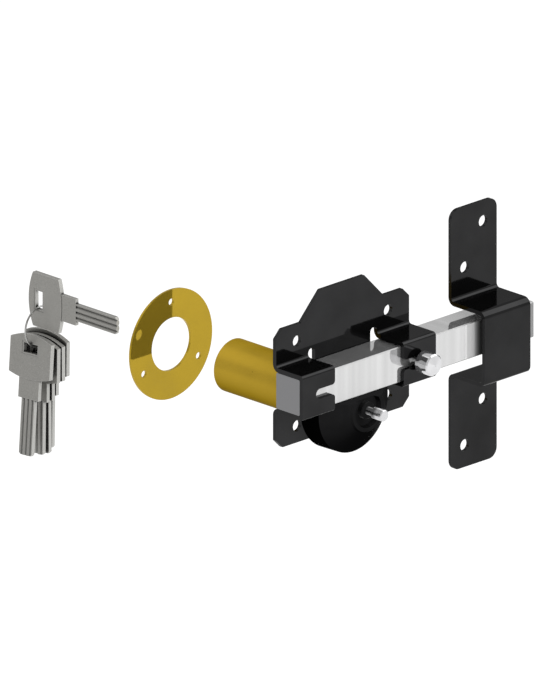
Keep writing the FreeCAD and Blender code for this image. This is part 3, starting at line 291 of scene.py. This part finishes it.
def turned_brass(m):
    """Brass with fine lathe rings along the barrel's axis and slight tarnish clouds, with painted
    shade on faces that look down and where other parts are near.
    """
    rings = m.noise(0.18, detail=2.0, where=m.place((0.03, 1.0, 0.03)))
    cloud = m.noise(19.0, detail=4.0, rough=0.55)
    rim = m.edge_wear_and_painted_highlight(0.35, m.remap(m.noise(1.1, detail=3.0), 0.35, 0.6))
    tone = m.mottle(cloud, 0.93, 1.05, 0.32, 0.68)
    tone = m.mix(m.times(rim, 0.5), tone, m.tint(1.35, 1.4, 2.2))
    # painted shade: faces that look down are darker
    tone = m.mix(m.remap(m.facing()["Z"], 0.35, -0.8), tone, m.tint(0.42))
    # painted shade: darker where the plate and other parts are near
    painted_near_shade = m.times(m.remap(m.openness(100.0), 0.97, 0.75), 0.7)
    m.colour(m.mix(painted_near_shade, tone, m.tint(0.55)))
    m.roughness(m.varied_rough(cloud, 0.8, 1.25))
    m.bump(rings, 0.0012)


def rolled_brass(m):
    """Polished brass sheet: soft rolling grain, thin tarnish clouds, worn bright edges."""
    grain = m.noise(0.22, detail=3.0, where=m.place((0.04, 1.0, 1.0)))
    cloud = m.noise(23.0, detail=4.0, rough=0.55)
    rim = m.edge_wear_and_painted_highlight(0.3, m.remap(m.noise(1.6), 0.35, 0.6))
    tone = m.mottle(cloud, 0.95, 1.04, 0.32, 0.68)
    m.colour(m.mix(m.times(rim, 0.5), tone, m.tint(1.3, 1.35, 2.0)))
    m.roughness(m.varied_rough(cloud, 0.75, 1.3))
    m.bump(grain, 0.0003)


def satin_nickel(m):
    """Tumbled nickel key: fine speckled grain, painted shade in grooves and gaps, bright edges that
    are partly rubbed and partly painted highlight, and painted light on faces that look to the
    front.
    """
    grain = m.noise(0.5, detail=4.0, rough=0.7)
    cloud = m.noise(9.0, detail=3.0)
    # edges painted bright: partly rubbed wear, partly painted highlight
    rim = m.edge_wear_and_painted_highlight(0.45, m.remap(m.noise(1.2), 0.25, 0.45), 0.03, 0.2)
    tone = m.mottle(grain, 0.72, 1.22, 0.34, 0.66)
    tone = m.mix(m.times(m.remap(cloud, 0.5, 0.72), 0.25), tone, m.tint(1.12))
    tone = m.mix(m.times(rim, 0.8), tone, (0.66, 0.66, 0.64))
    # painted light: faces that look to the front are lighter
    front = m.remap(m.facing("True Normal")["Y"], -0.5, -0.8)
    tone = m.mix(m.times(front, 0.55), tone, (0.62, 0.62, 0.6))
    # painted shade in the gaps between keys and in the grooves
    painted_gap_shade = m.remap(m.openness(6.0), 0.85, 0.42)
    painted_groove_shade = m.remap(m.openness(1.8), 0.93, 0.68)
    m.colour(m.mix(m.math("MAXIMUM", painted_gap_shade, painted_groove_shade), tone, m.tint(0.05)))
    m.roughness(m.varied_rough(grain, 0.8, 1.25))
    m.bump(grain, 0.006)


def plated_steel(m):
    """Small machined and plated pieces: fine turning marks and a slight mottle."""
    rings = m.noise(0.2, detail=2.0, where=m.place((0.1, 1.0, 0.1)))
    mottle = m.noise(2.2, detail=3.0)
    m.colour(m.mottle(mottle, 0.85, 1.1))
    m.roughness(m.varied_rough(mottle, 0.8, 1.25))
    m.bump(rings, 0.0015)


# slot: shading, base colour, metallic, roughness
MATERIALS = {
    "black_paint": (enamel, (0.028, 0.028, 0.0285), 0.93, 0.06),
    "keeper_paint": (enamel, (0.0262, 0.0262, 0.0266), 0.93, 0.07),
    "black_moulding": (drum_casting, (0.0135, 0.0135, 0.0139), 0.45, 0.38),
    "black_guide": (casting, (0.011, 0.011, 0.0113), 0.8, 0.5),
    "bolt_steel": (ground_bar, (0.59, 0.59, 0.59), 0.8, 0.05),
    "knob_chrome": (bright_plate, (0.66, 0.66, 0.67), 0.9, 0.1),
    "stud_steel": (plated_steel, (0.42, 0.42, 0.42), 0.95, 0.2),
    "pin_chrome": (pin_plate, (0.6, 0.6, 0.61), 0.9, 0.17),
    "barrel_brass": (turned_brass, (0.53, 0.35, 0.036), 0.62, 0.34),
    "ring_brass": (rolled_brass, (0.42, 0.285, 0.024), 0.62, 0.02),
    "core_brass": (turned_brass, (0.42, 0.3, 0.05), 0.7, 0.2),
    "inner_brass": (turned_brass, (0.42, 0.3, 0.05), 0.7, 0.25),
    "gear_steel": (plated_steel, (0.45, 0.45, 0.45), 0.95, 0.3),
    "screw_steel": (plated_steel, (0.5, 0.5, 0.51), 0.95, 0.3),
    "spring_steel": (plated_steel, (0.45, 0.45, 0.47), 0.95, 0.25),
    "key_nickel": (satin_nickel, (0.28, 0.275, 0.258), 0.4, 0.4),
    "wire_steel": (plated_steel, (0.36, 0.36, 0.35), 0.85, 0.25),
}
# low edge reflection keeps the tone level between faces seen square on and faces seen at a slant
LEVEL_EDGE = {"Specular_IOR_Level": 0.0, "Specular_Tint": (0.55, 0.55, 0.55, 1.0)}
LEVELS = {
    "black_paint": LEVEL_EDGE,
    "keeper_paint": LEVEL_EDGE,
    "black_moulding": {"Specular_IOR_Level": 0.0, "Specular_Tint": (0.1, 0.1, 0.1, 1.0)},
    "black_guide": LEVEL_EDGE,
    "barrel_brass": {"Specular_IOR_Level": 0.0, "Specular_Tint": (0.4, 0.37, 0.3, 1.0)},
    "ring_brass": {"Specular_IOR_Level": 0.05},
    "key_nickel": {"Specular_IOR_Level": 0.3},
}
materials = {name: Material(name, *look, **LEVELS.get(name, {})).made
             for name, look in MATERIALS.items()}

for part in frame["record"]["subparts"]:
    node = nodes[part["node"]]
    node.data.materials.clear()
    node.data.materials.append(materials[part["material_slot"]])
    for face in node.data.polygons:
        face.material_index = 0

# not physical: the photograph shows at most a faint trace of these in the bolt beside them
for name in ("gear_housing", "pin_guide", "release_pin"):
    nodes[name].visible_glossy = False


def coil():
    """The pin's spring as the CAD has it, copied and fixed to the lock case."""
    spring = bpy.data.objects.new("pin_spring_coil", nodes["pin_spring"].data.copy())
    bpy.context.scene.collection.objects.link(spring)
    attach(spring, "lock_case")
    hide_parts("pin_spring")
    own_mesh(spring)


coil()


# ---------------------------------------------------------------- stage, light, camera

FLOOR_HALF, FLOOR_LEVEL = 6.0, -0.3
PHOTO_ROWS, PIXELS_PER_METRE = 700, 1650.0
CAMERA_TURN, CAMERA_RISE = math.radians(-45.0), math.radians(19.74)
CAMERA_AIM = Vector((-0.0276, 0.0276, 0.0109))
CAMERA_DISTANCE = 1.2


def paper(m):
    """Pale paper with a barely seen cloud."""
    m.colour(m.mottle(m.noise(90.0), 0.99, 1.0))


def floor():
    """Pale level floor well below the object, wide enough for every view."""
    corners = [(x * FLOOR_HALF, y * FLOOR_HALF, FLOOR_LEVEL)
               for x, y in ((-1, -1), (1, -1), (1, 1), (-1, 1))]
    mesh = bpy.data.meshes.new("floor")
    mesh.from_pydata(corners, [], [(0, 1, 2, 3)])
    mesh.update()
    mesh.materials.append(Material(
        "floor_paper", paper, (0.25, 0.25, 0.25), 0.0, 0.9, Specular_IOR_Level=0.0,
        Emission_Color=(1.0, 1.0, 1.0, 1.0), Emission_Strength=0.86).made)
    sheet = bpy.data.objects.new("floor", mesh)
    bpy.context.scene.collection.objects.link(sheet)


def panel(name, spot, target, size, power):
    """A soft rectangular lamp aimed at a point."""
    light = bpy.data.lights.new(name, "AREA")
    light.shape = "RECTANGLE"
    light.size, light.size_y = size
    light.energy = power
    lamp = bpy.data.objects.new(name, light)
    lamp.location = spot
    lamp.rotation_euler = (Vector(target) - Vector(spot)).to_track_quat("-Z", "Y").to_euler()
    bpy.context.scene.collection.objects.link(lamp)


def studio():
    """A plain white surround and three soft lamps."""
    world = bpy.data.worlds.new("studio")
    world.use_nodes = True
    sky = world.node_tree.nodes["Background"]
    sky.inputs["Color"].default_value = (1.0, 1.0, 1.0, 1.0)
    sky.inputs["Strength"].default_value = 0.68
    bpy.context.scene.world = world
    panel("top_soft", (1.0, -0.5, 1.1), (0.0, 0.0, 0.0), (1.5, 1.2), 10.0)
    panel("front_soft", (0.5, -1.5, 0.6), (0.0, 0.1, 0.0), (1.0, 0.8), 13.0)
    panel("back_soft", (-0.55, 1.1, 1.1), (0.0, 0.1, 0.0), (1.2, 1.0), 1.8)


def camera():
    """The photograph's view: level turn of 45 degrees, seen from above, no perspective."""
    back = Vector((math.sin(CAMERA_TURN) * math.cos(CAMERA_RISE),
                   -math.cos(CAMERA_TURN) * math.cos(CAMERA_RISE),
                   math.sin(CAMERA_RISE)))      # unit vector from the object to the camera
    lens = bpy.data.cameras.new("photo_view")
    lens.type = "ORTHO"
    lens.ortho_scale = PHOTO_ROWS / PIXELS_PER_METRE
    lens.clip_start, lens.clip_end = 0.01, 10.0
    eye = bpy.data.objects.new("photo_view", lens)
    eye.location = CAMERA_AIM + back * CAMERA_DISTANCE
    eye.rotation_euler = back.to_track_quat("Z", "Y").to_euler()
    bpy.context.scene.collection.objects.link(eye)
    bpy.context.scene.camera = eye


floor()
studio()
camera()
bpy.context.scene.view_settings.view_transform = "Standard"
